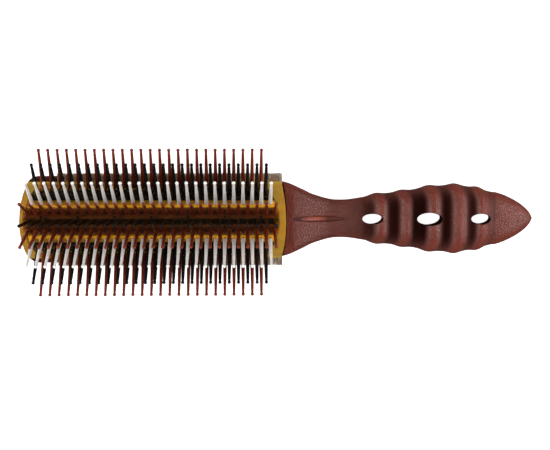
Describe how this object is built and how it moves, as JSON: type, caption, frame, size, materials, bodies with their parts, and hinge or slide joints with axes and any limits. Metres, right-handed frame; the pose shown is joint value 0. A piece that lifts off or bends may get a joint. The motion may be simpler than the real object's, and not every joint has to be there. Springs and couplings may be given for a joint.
{
  "type": "half-round styling brush",
  "caption": "Half-round hair styling brush: ribbed plastic handle with a tray that carries a translucent arched barrel of ball-tipped pins and bristles along both sides.",
  "frame": {"origin": "bottom centre of the bounding box; z = 0 is the flat underside of the tray that the brush lies on", "axes": "+X from the nose of the head to the tip of the handle, +Z the side with the pins, +Y across so that X, Y and Z are right-handed"},
  "size_m": [0.24, 0.0672, 0.0479],
  "materials": {
    "handle_plastic": "fine leather grain, satin",
    "amber_plastic": "translucent, polished",
    "red_nylon": "satin nylon",
    "black_nylon": "glossy nylon",
    "white_nylon": "satin nylon",
    "bristle": "dense short hair"
  },
  "bodies": {
    "root": {"handle": "handle_plastic", "barrel_core": "amber_plastic", "nose_plate": "amber_plastic", "tail_plate": "amber_plastic", "barrel_shell": "amber_plastic", "pin_strip_1": "red_nylon", "pin_strip_2": "black_nylon", "pin_strip_3": "white_nylon", "pin_strip_4": "red_nylon", "pin_strip_5": "black_nylon", "pin_strip_6": "red_nylon", "pin_strip_7": "white_nylon", "pin_strip_8": "black_nylon", "pin_strip_9": "red_nylon", "bristle_rail_left": "handle_plastic", "bristle_rail_right": "handle_plastic", "bristle_pack_left": "bristle", "bristle_pack_right": "bristle"}
  },
  "joints": []
}
